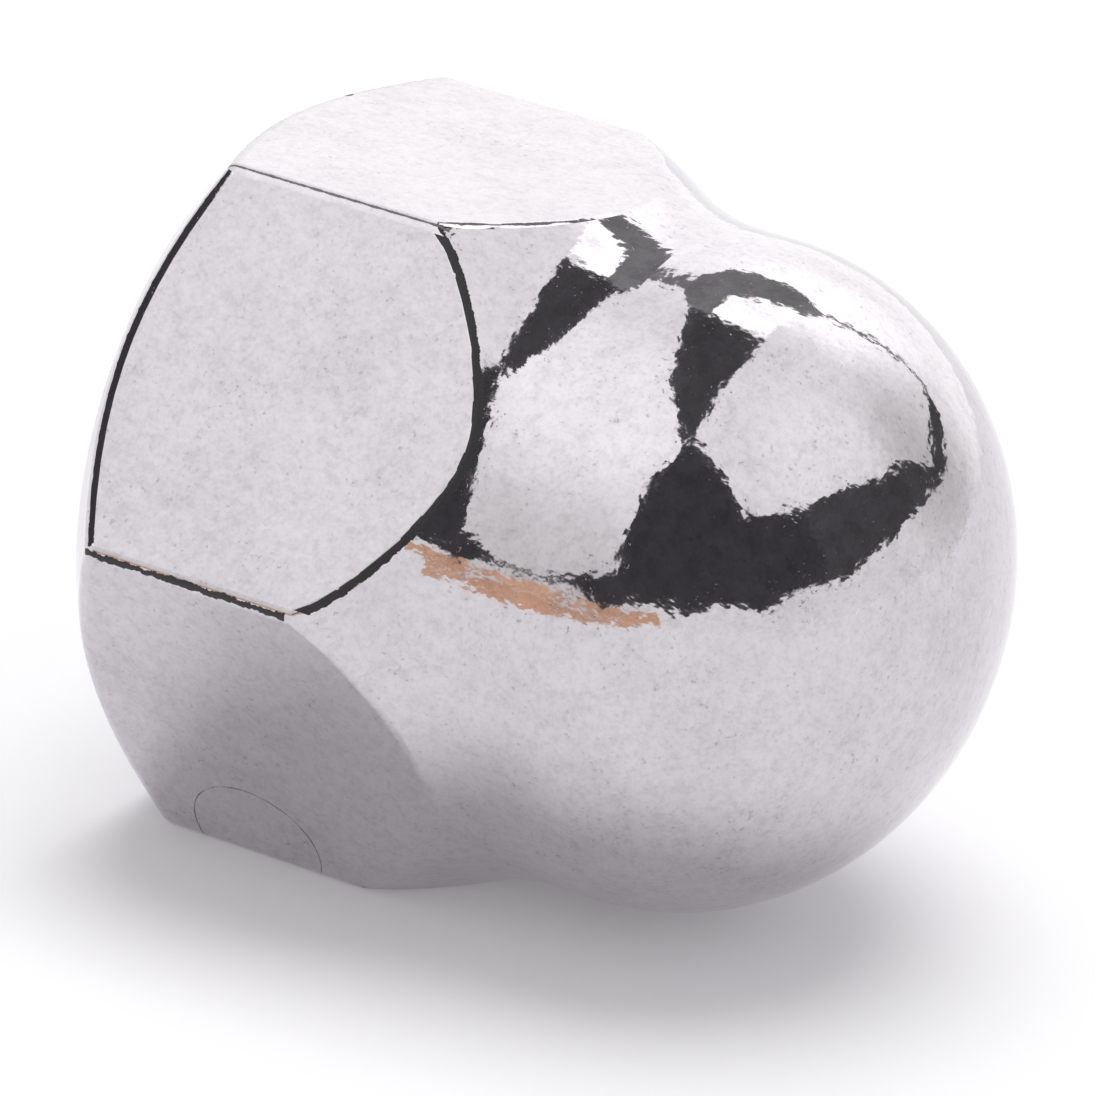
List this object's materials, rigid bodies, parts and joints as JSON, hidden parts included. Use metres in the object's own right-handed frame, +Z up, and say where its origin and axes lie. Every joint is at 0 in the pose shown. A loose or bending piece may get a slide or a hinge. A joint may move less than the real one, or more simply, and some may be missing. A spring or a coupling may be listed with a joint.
{
  "type": "cap nut",
  "caption": "Domed hexagon cap nut with a blind threaded hole, a wide chamfer at the open end and a polished dome.",
  "frame": {"origin": "middle of the nut's length and width, on the surface that its lowest hexagon flat lies on", "axes": "+X along the thread axis from the open end to the dome, +Z up, square to the flat that it lies on"},
  "size_m": [0.0152, 0.015, 0.013],
  "materials": {
    "polished_chrome": "polished bright plating with fine pits"
  },
  "bodies": {
    "root": {"cap_nut": "polished_chrome"}
  },
  "joints": []
}
